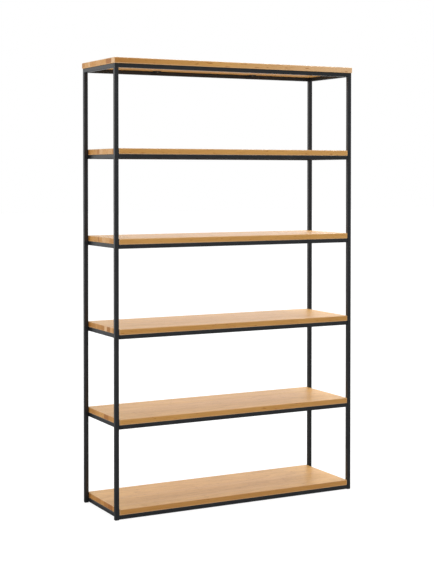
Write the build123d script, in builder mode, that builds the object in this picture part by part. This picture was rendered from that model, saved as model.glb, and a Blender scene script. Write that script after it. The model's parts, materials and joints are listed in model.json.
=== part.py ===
from build123d import *
import os

# Open shelving unit: oak boards on a welded square-tube carcass and on four shelf units,
# which clamp between its posts.
# Millimetres, +Z up, +X to the right seen from the front, the front towards -Y.
# The origin is on the floor under the middle of the unit.

# Overall sizes
frame_width = 1200.0          # across the outer faces of the posts
frame_depth = 360.0           # front face of a front post to back face of a rear post
shelf_pitch = 386.0           # from one board to the next
level_count = 6               # base, four shelves and the top

# Square tube
tube = 18.0
tube_wall = 1.5
tube_corner = 2.0

# Oak boards
board_thickness = 25.0
board_arris = 3.0             # rounding of the long and short edges
top_overhang = 3.0            # top board beyond the posts, all round
shelf_gap = 1.5               # between a shelf unit and the posts, each side

# Foot plugs
foot_flange = 2.0             # the part under the post end
foot_stem = 20.0              # the part pushed into the tube
foot_corner = 1.2
foot_stem_clearance = 0.1

# Fixing tabs and the wood screws through them
tab_width = 32.0
tab_reach = 34.0
tab_thickness = 3.0
tab_offset = 249.0            # from the middle of the unit
tab_corner = 5.0
tab_screw_inset = 22.0        # screw axis from the rail's inner face
screw_radius = 2.0
screw_hole_clearance = 0.25
pilot_clearance = 0.05
screw_bite = 15.0             # length inside the oak
screw_head_radius = 4.2
screw_head_height = 2.6
screw_recess = 2.4            # across flats of the drive recess
screw_recess_depth = 1.5

# End clamps of the shelf units
clamp_length = 46.0
clamp_standout = 1.4          # beyond the rail's end, towards the post
clamp_side_clearance = 0.15
clamp_corner = 0.8
clamp_notch = 0.75            # depth of the cam's notch as a share of the plunger
cam_radius = 5.0
cam_clearance = 0.15
cam_from_end = 30.0           # cam axis from the end of the rail, clear of the side rail
cam_head_standout = 1.0
cam_head_radius = 6.2
cam_socket_radius = 2.3
cam_socket_depth = 4.0

# Worked out from the sizes above
half_width = frame_width / 2
half_depth = frame_depth / 2
half_tube = tube / 2
bore = tube - 2 * tube_wall
post_x = half_width - half_tube
post_y = half_depth - half_tube
first_rail_top = foot_flange + tube
inner_width = frame_width - 2 * tube
inner_depth = frame_depth - 2 * tube
shelf_width = inner_width - 2 * shelf_gap
clamp_side = bore - 2 * clamp_side_clearance


def rail_top(level):
    """Height of the frame's upper face at a level, 0 for the base."""
    return first_rail_top + level * shelf_pitch


def save(part, name):
    part.label = name
    export_step(part, f"parts/{name}.step")


def facing_y(y, height, direction):
    """Upright plane across Y at a height, looking towards -Y or +Y, with its x along the unit's X."""
    return Plane((0, y, height), x_dir=(1, 0, 0), z_dir=(0, direction, 0))


def tube_profile():
    """Square tube section with rounded corners, drawn about the origin of the active sketch."""
    RectangleRounded(tube, tube, tube_corner)
    inner_corner = tube_corner - tube_wall
    RectangleRounded(bore, bore, inner_corner, mode=Mode.SUBTRACT)


def make_post(x, y):
    with BuildPart() as post:
        with BuildSketch(Plane.XY.offset(foot_flange)):
            with Locations((x, y)):
                tube_profile()
        extrude(amount=rail_top(level_count - 1) - foot_flange)
    return post.part


def make_long_rail(length, y, level, cam_side=0):
    """A rail along X. cam_side is the Y direction of its cam holes, or 0 for a rail with none."""
    axis_height = rail_top(level) - half_tube
    with BuildPart() as rail:
        with BuildSketch(Plane.YZ):
            with Locations((y, axis_height)):
                tube_profile()
        extrude(amount=length / 2, both=True)
        if cam_side:
            cam_x = length / 2 - cam_from_end
            with BuildSketch(facing_y(y + cam_side * half_tube, axis_height, cam_side)):
                with Locations((-cam_x, 0), (cam_x, 0)):
                    Circle(cam_radius + cam_clearance)
            extrude(amount=-half_tube, mode=Mode.SUBTRACT)
    return rail.part


def make_side_rail(x, level):
    """A rail along Y, between the front and back of its frame."""
    with BuildPart() as rail:
        with BuildSketch(Plane.XZ):
            with Locations((x, rail_top(level) - half_tube)):
                tube_profile()
        extrude(amount=inner_depth / 2, both=True)
    return rail.part


def four_places(x, y):
    """The four points at plus and minus x and y."""
    return [(side_x, side_y) for side_x in (-x, x) for side_y in (-y, y)]


def screw_places():
    """X and Y of the four screws under a board."""
    return four_places(tab_offset, half_depth - tube - tab_screw_inset)


def make_board(width, depth, level):
    underside = rail_top(level)
    with BuildPart() as board:
        with BuildSketch(Plane.XY.offset(underside)):
            Rectangle(width, depth)
        extrude(amount=board_thickness)
        edges_along = board.edges().filter_by(Axis.X) + board.edges().filter_by(Axis.Y)
        fillet(edges_along, radius=board_arris)
        with BuildSketch(Plane.XY.offset(underside)):
            with Locations(*screw_places()):
                Circle(screw_radius + pilot_clearance)
        extrude(amount=screw_bite, mode=Mode.SUBTRACT)
    return board.part


def make_fixing_tabs(level):
    """Four tabs flush with the top of the long rails, each with one screw hole."""
    tab_y = half_depth - tube - tab_reach / 2
    with BuildPart() as tabs:
        with BuildSketch(Plane.XY.offset(rail_top(level) - tab_thickness)):
            with Locations(*four_places(tab_offset, tab_y)):
                Rectangle(tab_width, tab_reach)
        extrude(amount=tab_thickness)
        upright_edges = tabs.edges().filter_by(Axis.Z)
        free_edges = upright_edges.filter_by(lambda edge: abs(edge.center().Y) < tab_y)
        fillet(free_edges, radius=tab_corner)
        with BuildSketch(Plane.XY.offset(rail_top(level) - tab_thickness)):
            with Locations(*screw_places()):
                Circle(screw_radius + screw_hole_clearance)
        extrude(amount=tab_thickness, mode=Mode.SUBTRACT)
    return tabs.part


def make_board_screws(level):
    """Four pan-head wood screws, heads under the tabs."""
    head_top = rail_top(level) - tab_thickness
    with BuildPart() as screws:
        with BuildSketch(Plane.XY.offset(head_top - screw_head_height)):
            with Locations(*screw_places()):
                Circle(screw_head_radius)
        extrude(amount=screw_head_height)
        rims = screws.edges().filter_by(GeomType.CIRCLE).group_by(Axis.Z)[0]
        fillet(rims, radius=screw_head_height / 2)
        with BuildSketch(Plane.XY.offset(head_top)):
            with Locations(*screw_places()):
                Circle(screw_radius)
        extrude(amount=tab_thickness + screw_bite - pilot_clearance)
        with BuildSketch(Plane.XY.offset(head_top - screw_head_height)):
            with Locations(*screw_places()):
                Rectangle(screw_recess, screw_recess)
        extrude(amount=screw_recess_depth, mode=Mode.SUBTRACT)
    return screws.part


def make_foot_plugs():
    """Four plugs: a flange as wide as the tube under the post, and a stem inside it."""
    stem_side = bore - 2 * foot_stem_clearance
    with BuildPart() as plugs:
        with BuildSketch():
            with Locations(*four_places(post_x, post_y)):
                RectangleRounded(tube, tube, tube_corner)
        extrude(amount=foot_flange)
        soles = plugs.faces().group_by(Axis.Z)[0]
        fillet(soles.edges(), radius=foot_corner)
        with BuildSketch(Plane.XY.offset(foot_flange)):
            with Locations(*four_places(post_x, post_y)):
                RectangleRounded(stem_side, stem_side, tube_corner - tube_wall)
        extrude(amount=foot_stem)
    return plugs.part


def clamp_rails():
    """The Y of each long rail's axis and the direction of its inner face."""
    return [(-post_y, 1), (post_y, -1)]


def make_end_clamps(level):
    """Four square plungers in the rail ends, each notched for its cam."""
    axis_height = rail_top(level) - half_tube
    end_x = shelf_width / 2
    with BuildPart() as clamps:
        for side in (-1, 1):
            outer_x = side * (end_x + clamp_standout)
            with BuildSketch(Plane((outer_x, 0, axis_height), x_dir=(0, 1, 0), z_dir=(side, 0, 0))):
                with Locations((-post_y, 0), (post_y, 0)):
                    RectangleRounded(clamp_side, clamp_side, clamp_corner)
            extrude(amount=-(clamp_length + clamp_standout))
        for rail_y, inward in clamp_rails():
            with BuildSketch(facing_y(rail_y + inward * clamp_side / 2, axis_height, inward)):
                with Locations((-(end_x - cam_from_end), 0), (end_x - cam_from_end, 0)):
                    Circle(cam_radius + cam_clearance)
            extrude(amount=-clamp_side * clamp_notch, mode=Mode.SUBTRACT)
    return clamps.part


def make_clamp_cams(level):
    """Four cam screws with a low round head and a hex socket, reached from inside the frame."""
    axis_height = rail_top(level) - half_tube
    cam_x = shelf_width / 2 - cam_from_end
    cam_depth = tube_wall + clamp_side_clearance + clamp_side * clamp_notch - cam_clearance
    with BuildPart() as cams:
        for rail_y, inward in clamp_rails():
            wall_y = rail_y + inward * half_tube
            with BuildSketch(facing_y(wall_y, axis_height, inward)):
                with Locations((-cam_x, 0), (cam_x, 0)):
                    Circle(cam_radius)
            extrude(amount=-cam_depth)
            with BuildSketch(facing_y(wall_y, axis_height, inward)):
                with Locations((-cam_x, 0), (cam_x, 0)):
                    Circle(cam_head_radius)
            extrude(amount=cam_head_standout)
            with BuildSketch(facing_y(wall_y + inward * cam_head_standout, axis_height, inward)):
                with Locations((-cam_x, 0), (cam_x, 0)):
                    RegularPolygon(cam_socket_radius, 6)
            extrude(amount=-cam_socket_depth, mode=Mode.SUBTRACT)
    return cams.part


os.makedirs("parts", exist_ok=True)

# Posts and their plugs
for depth_name, y in (("front", -post_y), ("rear", post_y)):
    for side_name, x in (("left", -post_x), ("right", post_x)):
        save(make_post(x, y), f"post_{depth_name}_{side_name}")
save(make_foot_plugs(), "foot_plugs")

# Top frame, flush with the posts, and the board over it
top_level = level_count - 1
save(make_long_rail(inner_width, -post_y, top_level), "top_rail_front")
save(make_long_rail(inner_width, post_y, top_level), "top_rail_back")
save(make_side_rail(-post_x, top_level), "top_rail_left")
save(make_side_rail(post_x, top_level), "top_rail_right")
save(make_board(frame_width + 2 * top_overhang, frame_depth + 2 * top_overhang, top_level), "top_board")
save(make_fixing_tabs(top_level), "top_fixing_tabs")
save(make_board_screws(top_level), "top_board_screws")

# Base frame, welded between the posts, with its side rails just inside them
base_side_x = inner_width / 2 - half_tube
save(make_long_rail(inner_width, -post_y, 0), "base_rail_front")
save(make_long_rail(inner_width, post_y, 0), "base_rail_back")
save(make_side_rail(-base_side_x, 0), "base_rail_left")
save(make_side_rail(base_side_x, 0), "base_rail_right")
save(make_board(shelf_width, frame_depth, 0), "base_board")
save(make_fixing_tabs(0), "base_fixing_tabs")
save(make_board_screws(0), "base_board_screws")

# Four shelf units that clamp between the posts
shelf_side_x = shelf_width / 2 - half_tube
for level in range(1, top_level):
    save(make_long_rail(shelf_width, -post_y, level, cam_side=1), f"shelf_{level}_rail_front")
    save(make_long_rail(shelf_width, post_y, level, cam_side=-1), f"shelf_{level}_rail_back")
    save(make_side_rail(-shelf_side_x, level), f"shelf_{level}_rail_left")
    save(make_side_rail(shelf_side_x, level), f"shelf_{level}_rail_right")
    save(make_board(shelf_width, frame_depth, level), f"shelf_{level}_board")
    save(make_fixing_tabs(level), f"shelf_{level}_fixing_tabs")
    save(make_board_screws(level), f"shelf_{level}_board_screws")
    save(make_end_clamps(level), f"shelf_{level}_end_clamps")
    save(make_clamp_cams(level), f"shelf_{level}_clamp_cams")
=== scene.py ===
# An oak and steel bookcase: a welded square-tube carcass, four shelf units that clamp between its posts,
# and six boards glued from staves. Metres, X to the right, Y from front to back, Z up.
import bmesh
import bpy
import json
import math
import random
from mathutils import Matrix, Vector


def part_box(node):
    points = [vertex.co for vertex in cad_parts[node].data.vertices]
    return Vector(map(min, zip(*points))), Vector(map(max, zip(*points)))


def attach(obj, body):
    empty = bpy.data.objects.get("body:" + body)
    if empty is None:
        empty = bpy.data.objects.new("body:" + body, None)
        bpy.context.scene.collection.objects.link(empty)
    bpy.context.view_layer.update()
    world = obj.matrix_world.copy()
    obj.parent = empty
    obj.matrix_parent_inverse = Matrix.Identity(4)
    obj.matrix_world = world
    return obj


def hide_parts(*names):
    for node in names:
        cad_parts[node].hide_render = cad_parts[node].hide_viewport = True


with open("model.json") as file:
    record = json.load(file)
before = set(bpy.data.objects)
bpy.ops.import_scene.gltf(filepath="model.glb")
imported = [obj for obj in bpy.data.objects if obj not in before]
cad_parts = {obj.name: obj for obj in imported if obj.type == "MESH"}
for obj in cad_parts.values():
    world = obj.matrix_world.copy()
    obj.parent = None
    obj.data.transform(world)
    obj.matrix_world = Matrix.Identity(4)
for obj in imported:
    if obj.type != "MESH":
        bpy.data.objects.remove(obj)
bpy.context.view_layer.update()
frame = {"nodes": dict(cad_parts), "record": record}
mm = 0.001
bodyOf = {node: body for body, nodes in frame["record"]["behaviour"]["bodies"].items() for node in nodes}
slotOf = {part["node"]: part["material_slot"] for part in frame["record"]["subparts"]}
print("frame loaded:", len(bodyOf), "nodes")


def linear(hexColour):
    # sRGB hex to linear values, with full opacity
    channels = [int(hexColour[i:i + 2], 16) / 255 for i in (1, 3, 5)]
    return [c / 12.92 if c <= 0.04045 else ((c + 0.055) / 1.055) ** 2.4 for c in channels] + [1.0]


def addNode(tree, kind, settings=None, links=None):
    # settings name a property of the node, one of its inputs or the stops of a colour ramp;
    # links go into its inputs, from an output or from the first output of a node
    node = tree.nodes.new(kind)
    for key, value in (settings or {}).items():
        if key == "stops":
            ends = node.color_ramp.elements
            ends[0].position, ends[0].color = value[0]
            ends[1].position, ends[1].color = value[-1]
            for place, colour in value[1:-1]:
                ends.new(place).color = colour
        elif isinstance(key, str) and hasattr(node, key):
            setattr(node, key, value)
        else:
            node.inputs[key].default_value = value
    for key, source in (links or {}).items():
        output = source.outputs[0] if isinstance(source, bpy.types.Node) else source
        tree.links.new(output, node.inputs[key])
    return node


def newMaterial(name):
    material = bpy.data.materials.new(name)
    material.use_nodes = True
    tree = material.node_tree
    tree.nodes.clear()
    return material, tree


# --- materials

faceNotes = ("stave", "pith", "cut")    # stored on every face of a board, three numbers each

powderCoat = {
    "colour": "#1d1f22",
    "paleColour": "#242629",
    "roughness": 0.33,
    "roughnessSpread": (-0.03, 0.05),
    "grain": 1.4 * mm,        # the real texture is about 0.3 mm, drawn coarser so that it shows at all
    "grainDepth": 0.05 * mm,
    "cloud": 60 * mm,         # slow change of tone along a tube
}


def makePowderCoat():
    # anthracite polyester powder, sprayed and baked: an even dark grey, a fine dry texture, a soft sheen
    material, tree = newMaterial("powderCoatedSteel")
    place = addNode(tree, "ShaderNodeTexCoord").outputs["Object"]
    cloud = addNode(tree, "ShaderNodeTexNoise",
                    {"Scale": 1 / powderCoat["cloud"], "Detail": 3.0}, {"Vector": place})
    tone = addNode(tree, "ShaderNodeValToRGB", {"stops": [
        (0.35, linear(powderCoat["colour"])), (0.70, linear(powderCoat["paleColour"]))]}, {0: cloud})
    grain = addNode(tree, "ShaderNodeTexNoise",
                    {"Scale": 1 / powderCoat["grain"], "Detail": 2.0}, {"Vector": place})
    bump = addNode(tree, "ShaderNodeBump",
                   {"Strength": 0.6, "Distance": powderCoat["grainDepth"]}, {"Height": grain})
    smooth, dull = (powderCoat["roughness"] + change for change in powderCoat["roughnessSpread"])
    rough = addNode(tree, "ShaderNodeMapRange", {
        "From Min": 0.3, "From Max": 0.7, "To Min": smooth, "To Max": dull}, {"Value": grain})
    shader = addNode(tree, "ShaderNodeBsdfPrincipled", {"IOR": 1.5},
                     {"Base Color": tone, "Roughness": rough, "Normal": bump})
    addNode(tree, "ShaderNodeOutputMaterial", links={"Surface": shader})
    return material


oak = {
    "earlywood": "#d3a35c",
    "latewood": "#bb8a48",
    "pore": "#7c5126",
    "dark": "#95541f",          # the darkest staves lean towards this
    "pale": "#e6c198",          # and the palest towards this, also laid on the rounded edges as a painted highlight
    "endGrainAndShade": "#c88c4c",      # the ends drink more oil and turn warmer; on the long edges a share of it is painted shade
    "ringSpacing": 7 * mm,      # 2 to 3 mm on real oak, drawn coarser so that the figure shows
    "ringWaver": 28 * mm,       # how far the rings wander along a stave
    "ringStops": [(0.0, 0.35), (0.12, 0.0), (0.55, 0.12), (0.86, 1.0), (1.0, 0.35)],    # across one ring
    "patterns": {               # length, width and detail of each noise drawn out along the board
        "waver": (450 * mm, 70 * mm, 3.0),
        "pores": (45 * mm, 1.6 * mm, 2.0),      # 0.3 mm wide on real oak, drawn coarser for the same reason
        "cloud": (420 * mm, 35 * mm, 4.0),      # slow changes along the board
        "mottle": (110 * mm, 22 * mm, 3.0),     # the quicker play of light that oil brings out
        "fleck": (34 * mm, 9 * mm, 1.0),        # small dark marks where a ray or a pin knot shows
    },
    "layers": [                 # over the rings: pattern, where it starts and is full, its most, its colour
        ("cloud", 0.42, 0.72, 0.25, "latewood"),
        ("mottle", 0.44, 0.68, 0.38, "latewood"),
        # the end colour: deeper oil on the ends, and on the long edges a painted shade
        ("oilAndShade", 0.0, 1.0, 0.5, "endGrainAndShade"),
        ("tone", 0.5, 0.0, 0.85, "dark"),
        ("tone", 0.5, 1.0, 0.85, "pale"),
        ("fleck", 0.64, 0.74, 0.55, "dark"),
        ("poreInRing", 0.0, 1.0, 1.0, "pore"),
        ("arris", 0.0, 1.0, 0.45, "pale"),      # painted highlight: the rounded edges are painted paler, as if they catch the light
    ],
    "ringByCloud": (0.8, 0.05),     # a ring shows by this much of the cloud, and this much anyway
    "poreByRing": (0.25, 0.14),     # and a pore by this much of the ring
    "poreFrom": (0.54, 0.72),
    "roughness": 0.35,
    "roughnessSpread": (-0.03, 0.09),
    "sheen": 0.17,              # oil sinks in, so the surface shines less than lacquer would
    "poreDepth": 0.12 * mm,
    "ringRelief": 0.2,          # share of that depth by which the hard late wood stands up
}


def makeOak():
    # oak, planed, sanded and oiled: rings run as long flames on the faces, fine lines on the edges
    # and arcs on the ends; pores are short dark dashes, and the oil leaves a satin gloss
    material, tree = newMaterial("oiledOak")
    multiply, add, subtract, multiplyAdd, fraction = (
        {"operation": name} for name in ("MULTIPLY", "ADD", "SUBTRACT", "MULTIPLY_ADD", "FRACT"))

    # what every face knows of its stave
    place = addNode(tree, "ShaderNodeTexCoord").outputs["Object"]
    sources = [place]
    for name in faceNotes:
        sources.append(addNode(tree, "ShaderNodeAttribute", {"attribute_name": name}).outputs["Vector"])
    position, stave, pith, cut = (
        addNode(tree, "ShaderNodeSeparateXYZ", links={0: source}).outputs for source in sources)
    x, y, z = position
    tone, start, drift = stave
    lean, pithY, pithZ = pith

    # a stave may grow paler to the right, and starts its grain at its own place along the board
    tone = addNode(tree, "ShaderNodeMath", multiplyAdd, {0: x, 1: drift, 2: tone})
    x = addNode(tree, "ShaderNodeMath", add, {0: x, 1: start})
    along = addNode(tree, "ShaderNodeCombineXYZ", links={0: x, 1: y, 2: z})
    # the end colour's share: deeper oil on the ends, painted shade on the long edges
    patterns = {"tone": tone, "arris": cut[0], "oilAndShade": cut[1]}
    for name, (length, width, detail) in oak["patterns"].items():
        stretch = (1 / length, 1 / width, 1 / width)
        drawn = addNode(tree, "ShaderNodeMapping", {"Scale": stretch}, {"Vector": along})
        patterns[name] = addNode(tree, "ShaderNodeTexNoise",
                                 {"Scale": 1.0, "Detail": detail}, {"Vector": drawn})

    # growth rings round a pith that leans a little away from the board's length
    across = addNode(tree, "ShaderNodeMath", subtract, {0: y, 1: pithY})
    leaning = addNode(tree, "ShaderNodeMath", multiplyAdd, {0: x, 1: lean, 2: z})
    below = addNode(tree, "ShaderNodeMath", subtract, {0: leaning, 1: pithZ})
    fromPith = addNode(tree, "ShaderNodeCombineXYZ", links={0: across, 1: below})
    radius = addNode(tree, "ShaderNodeVectorMath", {"operation": "LENGTH"}, {0: fromPith}).outputs["Value"]
    radius = addNode(tree, "ShaderNodeMath", multiplyAdd | {1: oak["ringWaver"]},
                     {0: patterns["waver"], 2: radius})
    count = addNode(tree, "ShaderNodeMath", multiply | {1: 1 / oak["ringSpacing"]}, {0: radius})
    phase = addNode(tree, "ShaderNodeMath", fraction, {0: count})
    ring = addNode(tree, "ShaderNodeValToRGB", {"stops": [
        (at, (grey, grey, grey, 1)) for at, grey in oak["ringStops"]]}, {0: phase})
    ring.color_ramp.interpolation = "EASE"

    # pores, which show most in the dark part of a ring
    low, high = oak["poreFrom"]
    pore = addNode(tree, "ShaderNodeMapRange",
                   {"From Min": low, "From Max": high}, {"Value": patterns["pores"]})
    change, least = oak["poreByRing"]
    share = addNode(tree, "ShaderNodeMath", multiplyAdd | {1: change, 2: least}, {0: ring})
    patterns["poreInRing"] = addNode(tree, "ShaderNodeMath", multiply, {0: pore, 1: share})

    # colour: rings first, then the layers over them
    change, least = oak["ringByCloud"]
    share = addNode(tree, "ShaderNodeMath", multiplyAdd | {1: change, 2: least}, {0: patterns["cloud"]})
    share = addNode(tree, "ShaderNodeMath", multiply, {0: ring, 1: share})
    wood = addNode(tree, "ShaderNodeMix", {
        "data_type": "RGBA", 6: linear(oak["earlywood"]), 7: linear(oak["latewood"])}, {0: share}).outputs[2]
    for pattern, low, high, most, colour in oak["layers"]:
        share = addNode(tree, "ShaderNodeMapRange", {"From Min": low, "From Max": high, "To Max": most},
                        {"Value": patterns[pattern]})
        wood = addNode(tree, "ShaderNodeMix", {"data_type": "RGBA", 7: linear(oak[colour])},
                       {0: share, 6: wood}).outputs[2]

    smooth, dull = (oak["roughness"] + change for change in oak["roughnessSpread"])
    rough = addNode(tree, "ShaderNodeMapRange",
                    {"To Min": smooth, "To Max": dull}, {"Value": patterns["pores"]})
    raised = addNode(tree, "ShaderNodeMath", multiply | {1: oak["ringRelief"]}, {0: ring})
    relief = addNode(tree, "ShaderNodeMath", subtract, {0: raised, 1: pore})
    bump = addNode(tree, "ShaderNodeBump",
                   {"Strength": 0.5, "Distance": oak["poreDepth"]}, {"Height": relief})
    shader = addNode(tree, "ShaderNodeBsdfPrincipled", {"IOR": 1.5, "Specular IOR Level": oak["sheen"]},
                     {"Base Color": wood, "Roughness": rough, "Normal": bump})
    addNode(tree, "ShaderNodeOutputMaterial", links={"Surface": shader})
    return material


smallParts = {
    "zincPlate": {
        "colour": "#c9c8c2", "stain": "#a3a19a", "metallic": 1.0, "roughness": 0.32, "grain": 2.0 * mm},
    "blackenedSteel": {
        "colour": "#1f2022", "stain": "#2c2c2d", "metallic": 0.9, "roughness": 0.42, "grain": 2.5 * mm},
    "mouldedPolyethylene": {
        "colour": "#17181a", "stain": "#222325", "metallic": 0.0, "roughness": 0.52, "grain": 1.8 * mm},
    "mouldedNylon": {
        "colour": "#1c1d1f", "stain": "#27282a", "metallic": 0.0, "roughness": 0.46, "grain": 1.6 * mm},
}
smallPartRelief = 0.04 * mm
smallPartSpread = (-0.06, 0.08)     # of the roughness


def makeSmallPart(name):
    # zinc is a cool bright plate with cloudy spots, blackened steel an oily dark one,
    # and the plastics carry the fine spark texture of their mould
    look = smallParts[name]
    material, tree = newMaterial(name)
    place = addNode(tree, "ShaderNodeTexCoord").outputs["Object"]
    grain = addNode(tree, "ShaderNodeTexNoise",
                    {"Scale": 1 / look["grain"], "Detail": 3.0}, {"Vector": place})
    tone = addNode(tree, "ShaderNodeValToRGB", {"stops": [
        (0.38, linear(look["colour"])), (0.68, linear(look["stain"]))]}, {0: grain})
    smooth, dull = (look["roughness"] + change for change in smallPartSpread)
    rough = addNode(tree, "ShaderNodeMapRange", {"To Min": smooth, "To Max": dull}, {"Value": grain})
    bump = addNode(tree, "ShaderNodeBump", {"Strength": 0.3, "Distance": smallPartRelief}, {"Height": grain})
    shader = addNode(tree, "ShaderNodeBsdfPrincipled", {"Metallic": look["metallic"]},
                     {"Base Color": tone, "Roughness": rough, "Normal": bump})
    addNode(tree, "ShaderNodeOutputMaterial", links={"Surface": shader})
    return material


materialFor = {
    "frame_coat": makePowderCoat(),
    "oak": makeOak(),
    "zinc_screw": makeSmallPart("zincPlate"),
    "cam_steel": makeSmallPart("blackenedSteel"),
    "foot_plastic": makeSmallPart("mouldedPolyethylene"),
    "clamp_nylon": makeSmallPart("mouldedNylon"),
}
print("materials made:", len(materialFor))


# --- what every piece needs

sharpAngle = math.radians(35)


def loft(work, rings, closed=False):
    # joins rings of points one to the next; the ends are capped, or joined if it closes on itself
    made = [[work.verts.new(point) for point in ring] for ring in rings]
    for first, second in zip(made, made[1:] + made[:1] if closed else made[1:]):
        for i in range(len(first)):
            j = (i + 1) % len(first)
            work.faces.new((first[i], first[j], second[j], second[i]))
    if not closed:
        work.faces.new(made[0])
        work.faces.new(made[-1])


def meshFrom(work, name):
    bmesh.ops.recalc_face_normals(work, faces=work.faces)
    mesh = bpy.data.meshes.new(name)
    work.to_mesh(mesh)
    work.free()
    return mesh


def finishPiece(mesh, node):
    # a new piece in place of a CAD node, riding on its body
    mesh.materials.append(materialFor[slotOf[node]])
    piece = bpy.data.objects.new(mesh.name, mesh)
    bpy.context.scene.collection.objects.link(piece)
    for polygon in mesh.polygons:
        polygon.use_smooth = True
    even = piece.modifiers.new("evenShading", "WEIGHTED_NORMAL")
    even.weight = 100
    even.keep_sharp = True
    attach(piece, bodyOf[node])
    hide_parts(node)


# --- square tubes

squareTube = {
    "wall": 1.5 * mm,
    "corner": 2.0 * mm,
    "cornerSegments": 5,
    "endBreak": 0.25 * mm,    # the saw's burr is filed off
}


def roundedSquare(half, radius, segments):
    points = []
    for quarter in range(4):
        centre = Vector((half - radius, half - radius))
        for step in range(segments + 1):
            angle = math.pi / 2 * step / segments
            local = centre + radius * Vector((math.cos(angle), math.sin(angle)))
            turn = math.pi / 2 * quarter
            points.append((local.x * math.cos(turn) - local.y * math.sin(turn),
                           local.x * math.sin(turn) + local.y * math.cos(turn)))
    return points


def makeTube(node):
    # hollow, with rounded corners and open ends
    low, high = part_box(node)
    size = high - low
    axis = list(size).index(max(size))
    sides = [i for i in range(3) if i != axis]
    middle = (low + high) / 2
    half = size[sides[0]] / 2
    wall, corner, inset = squareTube["wall"], squareTube["corner"], squareTube["endBreak"]
    outer = roundedSquare(half, corner, squareTube["cornerSegments"])
    narrow = roundedSquare(half - inset, corner, squareTube["cornerSegments"])
    bore = roundedSquare(half - wall, corner - wall, squareTube["cornerSegments"])
    start, end = low[axis], high[axis]
    rings = []
    for outline, along in ((bore, start), (narrow, start), (outer, start + inset),
                           (outer, end - inset), (narrow, end), (bore, end)):
        ring = []
        for a, b in outline:
            point = middle.copy()
            point[axis] = along
            point[sides[0]] += a
            point[sides[1]] += b
            ring.append(point)
        rings.append(ring)
    work = bmesh.new()
    loft(work, rings, closed=True)
    mesh = meshFrom(work, node + "_tube")
    mesh.set_sharp_from_angle(angle=sharpAngle)
    finishPiece(mesh, node)


tubeNodes = [node for node in bodyOf if "_rail_" in node or node.startswith("post_")]
for node in tubeNodes:
    makeTube(node)
print("tubes made:", len(tubeNodes))


# --- oak boards

boards = {
    "arris": 3.0 * mm,
    "arrisSegments": 6,
    "staves": {                 # width in mm and tone of each stave's end from the front, 0 dark, 1 pale
        "top_board": [
            (34, 0.95), (57, 0.12), (58, 0.52), (56, 0.58), (66, 0.44), (18, 0.85), (42, 0.58), (35, 0.34)],
        "shelf_4_board": [
            (62, 0.50), (10, 0.20), (46, 0.66), (63, 0.60), (34, 0.74), (28, 0.22), (66, 0.42), (20, 0.36),
            (37, 0.18)],
        "shelf_3_board": [
            (66, 0.42), (40, 0.36), (44, 0.60), (38, 0.70), (34, 0.46), (12, 0.12), (50, 0.44), (44, 0.50),
            (38, 0.25)],
        "shelf_2_board": [
            (52, 0.40), (22, 0.30), (26, 0.62), (36, 0.12), (28, 0.88), (34, 0.22), (46, 0.30), (18, 0.46),
            (62, 0.28), (42, 0.14)],
        "shelf_1_board": [
            (58, 0.30), (22, 0.42), (40, 0.36), (50, 0.10), (56, 0.52), (40, 0.40), (46, 0.28), (54, 0.38)],
        "base_board": [
            (52, 0.22), (26, 0.34), (48, 0.04), (44, 0.16), (40, 0.34), (52, 0.20), (58, 0.32), (46, 0.18)],
    },
    "sideTone": {               # tone of the long edges, and how much paler they grow in a metre to the right; the lower boards' edges are set darker, partly wood tone and partly painted shade where less light reaches
        "top_board": (0.58, 0.60), "shelf_4_board": (0.48, 0.10), "shelf_3_board": (0.48, 0.05),
        "shelf_2_board": (0.40, 0.0), "shelf_1_board": (0.42, -0.04), "base_board": (0.31, 0.0)},
    "faceTones": (0.48, 0.58),  # staves differ little on the upper and lower faces
    "sideShade": 0.6,             # share of the warmer end colour on the long edges, a painted shade that makes the front and back faces darker and warmer than the upper faces
    "log": 8.0,                 # metres of log that a stave's grain may start in
    "pithLean": (0.012, 0.035),
    "pithAside": 50 * mm,       # how far beside the stave the pith may lie
    "pithBelow": (30 * mm, 110 * mm),
    "seed": 11,
}
roundedEdge = math.radians(30)      # edges sharper than this are rounded over


def boardMesh(name, low, high, glueLines):
    # a closed box with a cut at every glue line, its outer edges rounded over
    corners = ((low.x, low.z), (high.x, low.z), (high.x, high.z), (low.x, high.z))
    work = bmesh.new()
    loft(work, [[(x, y, z) for x, z in corners] for y in (low.y, *glueLines, high.y)])
    bmesh.ops.recalc_face_normals(work, faces=work.faces)
    outerEdges = [edge for edge in work.edges if edge.calc_face_angle(0) > roundedEdge]
    bmesh.ops.bevel(work, geom=outerEdges, offset=boards["arris"], offset_type="OFFSET", affect="EDGES",
                    segments=boards["arrisSegments"], profile=0.5, clamp_overlap=False)
    return meshFrom(work, name)


def chooseStaves(node, low, high, edges):
    # every stave has two tones, a start along the grain and the place of its pith
    draw = random.Random(boards["seed"] + round(low.z * 100))
    middle = (low.z + high.z) / 2
    aside = boards["pithAside"]
    staves = []
    for (_, endTone), near, far in zip(boards["staves"][node], edges, edges[1:]):
        side = draw.choice((-1, 1))
        staves.append({
            "far": far,
            "end": endTone,
            "face": draw.uniform(*boards["faceTones"]),
            "start": draw.uniform(0, boards["log"]),
            "pith": (side * draw.uniform(*boards["pithLean"]), (near + far) / 2 + draw.uniform(-aside, aside),
                     middle - side * draw.uniform(*boards["pithBelow"])),
        })
    return staves


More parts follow.
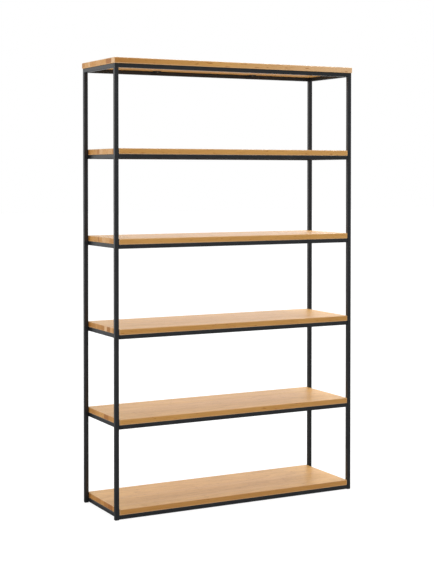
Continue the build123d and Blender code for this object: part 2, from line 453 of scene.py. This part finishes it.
def makeBoard(node):
    low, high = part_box(node)
    glueLines, at = [], low.y
    for width, _ in boards["staves"][node][:-1]:
        at += width * mm
        glueLines.append(at)
    mesh = boardMesh(node + "_oak", low, high, glueLines)
    staves = chooseStaves(node, low, high, [low.y, *glueLines, high.y])
    sideTone, drift = boards["sideTone"][node]

    # "stave" holds tone, start and drift, "pith" its lean and place,
    # "cut" whether the face is a rounded edge and how much of the warmer end colour it takes: deeper oil on
    # the ends, painted shade on the long edges
    for name in faceNotes:
        mesh.attributes.new(name, "FLOAT_VECTOR", "FACE")
    notes = [mesh.attributes[name] for name in faceNotes]
    mostly, fully = 0.7, 0.995      # how far a normal leans along an axis
    for polygon in mesh.polygons:
        own = next((stave for stave in staves if polygon.center.y < stave["far"]), staves[-1])
        alongX, alongY, alongZ = (abs(part) for part in polygon.normal)
        if alongX > mostly:
            tone, slope, oilAndShade = own["end"], 0.0, 1.0
        elif alongY > mostly:
            # the long edges: their own tone and a share of the end colour as painted shade
            tone, slope, oilAndShade = sideTone, drift, boards["sideShade"]
        else:
            tone, slope, oilAndShade = own["face"], 0.0, 0.0
        # the rounded faces are the arrises, which the oak paints paler as a painted highlight
        rounded = 0.0 if max(alongX, alongY, alongZ) > fully else 1.0
        values = ((tone, own["start"], slope), own["pith"], (rounded, oilAndShade, 0.0))
        for note, value in zip(notes, values):
            note.data[polygon.index].vector = value
    finishPiece(mesh, node)


for node in boards["staves"]:
    makeBoard(node)
print("boards made:", len(boards["staves"]))


# --- small parts: tabs, screws, cams and plugs are made of rings, the hidden clamps keep their CAD shape

cornerSteps = 5
ringPoints = 4 * (cornerSteps + 1)


def separateBoxes(node):
    # the low and high corners of every separate solid in a node
    source = frame["nodes"][node]
    work = bmesh.new()
    work.from_mesh(source.data)
    work.transform(source.matrix_world)
    bmesh.ops.remove_doubles(work, verts=work.verts, dist=0.001 * mm)
    waiting = set(work.verts)
    boxes = []
    while waiting:
        found = [waiting.pop()]
        for vert in found:      # the list grows while it is walked
            for edge in vert.link_edges:
                other = edge.other_vert(vert)
                if other in waiting:
                    waiting.discard(other)
                    found.append(other)
        low, high = (Vector([pick(vert.co[i] for vert in found) for i in range(3)]) for pick in (min, max))
        boxes.append((low, high))
    work.free()
    return sorted(boxes, key=lambda corners: tuple(round(value, 4) for value in corners[0]))


def circle(radius):
    turns = [2 * math.pi * i / ringPoints for i in range(ringPoints)]
    return [(radius * math.cos(turn), radius * math.sin(turn)) for turn in turns]


def flatSided(sides, apothem, firstCorner=0.0):
    points = []
    half = math.pi / sides
    for i in range(ringPoints):
        turn = 2 * math.pi * i / ringPoints
        radius = apothem / math.cos((turn - firstCorner) % (2 * half) - half)
        points.append((radius * math.cos(turn), radius * math.sin(turn)))
    return points


def turned(work, seat, across, up, out, profile):
    # profile lists an outline and its height above the seat
    loft(work, [[seat + across * a + up * b + out * height for a, b in outline]
                for outline, height in profile])


fixingTab = {
    "freeCorner": 5.0 * mm,
    "weldedCorner": 0.4 * mm,
    "edge": 0.5 * mm,           # the punched edge is rolled over on the underside
    "hole": 2.25 * mm,
    "holeFromRail": 22.0 * mm,
    "weld": 1.8 * mm,           # bead under the tab where it meets the rail
    "weldEnds": 3.0 * mm,       # bare length at either end of the bead
    "weldSteps": 34,
    "weldRipple": (0.12, 2.1),  # share of the bead, and turn from one step to the next
    "weldStart": 0.25,          # size of the bead at its ends, from where it swells
    "weldSwell": 6.0,
}


def tabOutline(low, high, inward, inset):
    # the two corners away from the rail are rounded
    points = []
    for quarter, (sx, sy) in enumerate(((1, 1), (-1, 1), (-1, -1), (1, -1))):
        free = sy == inward
        radius = fixingTab["freeCorner" if free else "weldedCorner"]
        cornerX = (high.x if sx > 0 else low.x) - sx * radius
        cornerY = (high.y if sy > 0 else low.y) - sy * radius
        for step in range(cornerSteps + 1):
            turn = math.pi / 2 * (quarter + step / cornerSteps)
            reach = radius - inset
            points.append((cornerX + reach * math.cos(turn), cornerY + reach * math.sin(turn)))
    return points


def makeTab(work, low, high):
    inward = -1 if low.y + high.y > 0 else 1
    railY = low.y if inward > 0 else high.y
    centre = Vector(((low.x + high.x) / 2, railY + inward * fixingTab["holeFromRail"]))
    edge = fixingTab["edge"]
    full = tabOutline(low, high, inward, 0.0)
    rolled = tabOutline(low, high, inward, min(edge, fixingTab["weldedCorner"]))
    hole = []
    for x, y in full:
        away = (Vector((x, y)) - centre).normalized() * fixingTab["hole"]
        hole.append((centre.x + away.x, centre.y + away.y))
    heights = ((hole, high.z), (full, high.z), (full, low.z + edge), (rolled, low.z), (hole, low.z))
    loft(work, [[(x, y, z) for x, y in outline] for outline, z in heights], closed=True)

    # weld bead: a quarter round with the ripple of the torch
    ripple, pace = fixingTab["weldRipple"]
    swell, least = fixingTab["weldSwell"], fixingTab["weldStart"]
    start, length = low.x + fixingTab["weldEnds"], high.x - low.x - 2 * fixingTab["weldEnds"]
    rings = []
    for step in range(fixingTab["weldSteps"] + 1):
        share = step / fixingTab["weldSteps"]
        x = start + share * length
        taper = min(1.0, swell * share + least, swell * (1 - share) + least)
        radius = fixingTab["weld"] * taper * (1 + ripple * math.sin(step * pace))
        ring = [(x, railY + inward * radius * math.cos(turn), low.z - radius * math.sin(turn))
                for turn in (math.pi / 2 * k / cornerSteps for k in range(cornerSteps + 1))]
        rings.append(ring + [(x, railY, low.z + edge)])
    loft(work, rings)


boardScrew = {
    "headHeight": 2.6 * mm,
    "recess": 1.2 * mm,         # half across the flats of the square drive
    "recessDepth": 1.5 * mm,
    "shank": 2.0 * mm,
    "tip": 0.25,                # of the shank
    "pan": [                    # radius and height in mm
        (2.4, 2.6), (3.1, 2.5), (3.7, 2.2), (4.05, 1.7), (4.2, 1.1), (4.2, 0.2), (4.05, 0.0)],
}


def makeScrew(work, low, high):
    head, recess, shank = boardScrew["headHeight"], boardScrew["recess"], boardScrew["shank"]
    seat = Vector(((low.x + high.x) / 2, (low.y + high.y) / 2, low.z + head))
    length = high.z - seat.z
    profile = [(flatSided(4, recess * 0.92, math.pi / 4), head - boardScrew["recessDepth"]),
               (flatSided(4, recess, math.pi / 4), head - 0.12 * mm),
               (flatSided(4, recess * 1.1, math.pi / 4), head)]
    profile += [(circle(radius * mm), height * mm) for radius, height in boardScrew["pan"]]
    point = circle(shank * boardScrew["tip"])
    profile += [(circle(shank), 0.0), (circle(shank), -0.8 * length), (point, -length)]
    turned(work, seat, Vector((1, 0, 0)), Vector((0, -1, 0)), Vector((0, 0, -1)), profile)


clampCam = {
    "standout": 1.0 * mm,
    "shaft": 5.0 * mm,
    "socket": 1.99 * mm,        # half across the flats of the hex key
    "socketDepth": 4.0 * mm,
    "head": [                   # radius and height in mm
        (5.5, 1.0), (5.95, 0.9), (6.15, 0.65), (6.2, 0.35), (6.2, 0.05), (6.1, 0.0)],
    "shaftBreak": 0.3 * mm,
}


def makeCam(work, low, high):
    inward = -1 if low.y + high.y > 0 else 1
    face = high.y if inward > 0 else low.y
    seat = Vector(((low.x + high.x) / 2, face - inward * clampCam["standout"], (low.z + high.z) / 2))
    top, socket, shaft = clampCam["standout"], clampCam["socket"], clampCam["shaft"]
    depth = high.y - low.y - top
    profile = [(flatSided(6, socket * 0.96), top - clampCam["socketDepth"]),
               (flatSided(6, socket), top - 0.25 * mm),
               (flatSided(6, socket * 1.12), top)]
    profile += [(circle(radius * mm), height * mm) for radius, height in clampCam["head"]]
    corner = clampCam["shaftBreak"]
    profile += [(circle(shaft), 0.0), (circle(shaft), corner - depth), (circle(shaft - corner), -depth)]
    turned(work, seat, Vector((1, 0, 0)), Vector((0, 0, 1)), Vector((0, inward, 0)), profile)


footPlug = {
    "flange": 2.0 * mm,
    "corner": 2.0 * mm,
    "stem": 7.3 * mm,           # half its width over the ribs
    "ribs": 4,
    "ribDepth": 0.7 * mm,
}


def makePlug(work, low, high):
    half, corner, stem = (high.x - low.x) / 2, footPlug["corner"], footPlug["stem"]
    seat = Vector(((low.x + high.x) / 2, (low.y + high.y) / 2, low.z))

    def square(side, height):
        return roundedSquare(side, corner - min(half - side, corner - 0.3 * mm), cornerSteps), height

    flange = footPlug["flange"]
    profile = [square(half - 0.8 * mm, 0.0), square(half - 0.3 * mm, 0.12 * mm), square(half, 0.6 * mm),
               square(half, flange)]
    core = stem - footPlug["ribDepth"]
    pitch = (high.z - low.z - flange) / footPlug["ribs"]
    for rib in range(footPlug["ribs"]):
        start = flange + rib * pitch
        profile += [square(core, start), square(core, start + 0.4 * pitch),
                    square(stem, start + 0.45 * pitch), square(core + 0.2 * mm, start + pitch)]
    turned(work, seat, Vector((1, 0, 0)), Vector((0, 1, 0)), Vector((0, 0, 1)), profile)


makerOf = {"fixing_tabs": makeTab, "board_screws": makeScrew, "clamp_cams": makeCam, "foot_plugs": makePlug}
made = 0
for node in bodyOf:
    maker = next((makerOf[ending] for ending in makerOf if node.endswith(ending)), None)
    if maker:
        work = bmesh.new()
        for low, high in separateBoxes(node):
            maker(work, low, high)
        mesh = meshFrom(work, node + "_parts")
        mesh.set_sharp_from_angle(angle=sharpAngle)
        finishPiece(mesh, node)
        made += 1
    elif node.endswith("end_clamps"):
        part = frame["nodes"][node]
        part.data.materials.clear()
        part.data.materials.append(materialFor[slotOf[node]])
print("small parts made:", made)


# --- floor, light and camera

studio = {
    "floor": "#7a7a7a",
    "floorGlow": 0.88,          # lifts the floor to white where no lamp reaches
    "backdrop": "#ffffff",      # what the camera sees behind the bookcase
    "behind": 1.05,             # brightness of the white room behind it
    "inFront": 0.36,            # and on the darker side, where one stands to look at it
    "low": 0.12,                # share of that light which comes from near the floor
    "fade": (-0.30, -0.08),     # height of the direction where that begins and ends
    "lean": 0.20,               # the dark part climbs towards the left
    "turn": 0.7,                # how far to the front and back the room changes
    "lights": {
        "overhead": {"at": (1.9, -1.0, 5.2), "towards": (0.0, 0.0, 0.9), "size": 2.0, "watts": 100},
        "upperBack": {"at": (4.3, 5.1, 6.9), "towards": (0.0, 0.0, 0.9), "size": 5.4, "watts": 455},
        "left": {"at": (-3.5, -1.4, 2.6), "towards": (-0.6, -0.2, 1.5), "size": 1.4, "watts": 22},
    },
}


def makeFloor():
    # seamless paper, pulled far enough back that its edge never shows
    reach = 40.0
    mesh = bpy.data.meshes.new("floor")
    corners = [(-reach, -reach, 0), (reach, -reach, 0), (reach, reach, 0), (-reach, reach, 0)]
    mesh.from_pydata(corners, [], [(0, 1, 2, 3)])
    material, tree = newMaterial("whitePaper")
    shader = addNode(tree, "ShaderNodeBsdfPrincipled", {
        "Base Color": linear(studio["floor"]), "Roughness": 0.9,
        "Emission Color": linear(studio["backdrop"]), "Emission Strength": studio["floorGlow"]})
    addNode(tree, "ShaderNodeOutputMaterial", links={"Surface": shader})
    mesh.materials.append(material)
    floor = bpy.data.objects.new("floor", mesh)
    floor.visible_glossy = False        # the room below the horizon is what the steel mirrors
    bpy.context.scene.collection.objects.link(floor)


def makeRoom():
    # a white room that is bright behind the bookcase and darker in front of it and near the floor
    world = bpy.data.worlds.new("whiteRoom")
    world.use_nodes = True
    tree = world.node_tree
    tree.nodes.clear()
    direction = addNode(tree, "ShaderNodeTexCoord").outputs["Generated"]
    x, y, z = addNode(tree, "ShaderNodeSeparateXYZ", links={0: direction}).outputs
    height = addNode(tree, "ShaderNodeMath", {"operation": "MULTIPLY_ADD", 1: studio["lean"]}, {0: x, 2: z})
    low, high = studio["fade"]
    upToDown = addNode(tree, "ShaderNodeMapRange", {
        "interpolation_type": "SMOOTHSTEP", "From Min": low, "From Max": high, "To Min": studio["low"]},
        {"Value": height})
    backToFront = addNode(tree, "ShaderNodeMapRange", {
        "interpolation_type": "SMOOTHSTEP", "From Min": -studio["turn"], "From Max": studio["turn"],
        "To Min": studio["inFront"], "To Max": studio["behind"]}, {"Value": y})
    strength = addNode(tree, "ShaderNodeMath", {"operation": "MULTIPLY"}, {0: backToFront, 1: upToDown})
    white = linear(studio["backdrop"])
    roomLight = addNode(tree, "ShaderNodeBackground", {"Color": white}, {"Strength": strength})
    backdrop = addNode(tree, "ShaderNodeBackground", {"Color": white})
    seen = addNode(tree, "ShaderNodeLightPath").outputs["Is Camera Ray"]
    both = addNode(tree, "ShaderNodeMixShader", links={0: seen, 1: roomLight, 2: backdrop})
    addNode(tree, "ShaderNodeOutputWorld", links={"Surface": both})
    bpy.context.scene.world = world


def aim(place, target):
    return (Vector(target) - Vector(place)).to_track_quat("-Z", "Y").to_euler()


makeFloor()
makeRoom()
for name, light in studio["lights"].items():
    lamp = bpy.data.lights.new(name, "AREA")
    lamp.shape = "DISK"
    lamp.size = light["size"]
    lamp.energy = light["watts"]
    holder = bpy.data.objects.new(name, lamp)
    holder.location = light["at"]
    holder.rotation_euler = aim(light["at"], light["towards"])
    bpy.context.scene.collection.objects.link(holder)

view = {
    "at": (-2.789, -5.231, 1.479),
    "yaw": 27.94,      # degrees from +Y towards +X
    "tilt": 1.25,      # degrees below level
    "lens": 80.45,
    "shiftY": -0.1507,
}
cameraData = bpy.data.cameras.new("camera")
cameraData.lens = view["lens"]
cameraData.shift_y = view["shiftY"]
cameraData.clip_end = 200
camera = bpy.data.objects.new("camera", cameraData)
camera.location = view["at"]
yaw, tilt = math.radians(view["yaw"]), math.radians(view["tilt"])
forward = Vector((math.sin(yaw) * math.cos(tilt), math.cos(yaw) * math.cos(tilt), -math.sin(tilt)))
camera.rotation_euler = forward.to_track_quat("-Z", "Y").to_euler()
bpy.context.scene.collection.objects.link(camera)
bpy.context.scene.camera = camera
bpy.context.scene.view_settings.view_transform = "Standard"
print("studio ready")
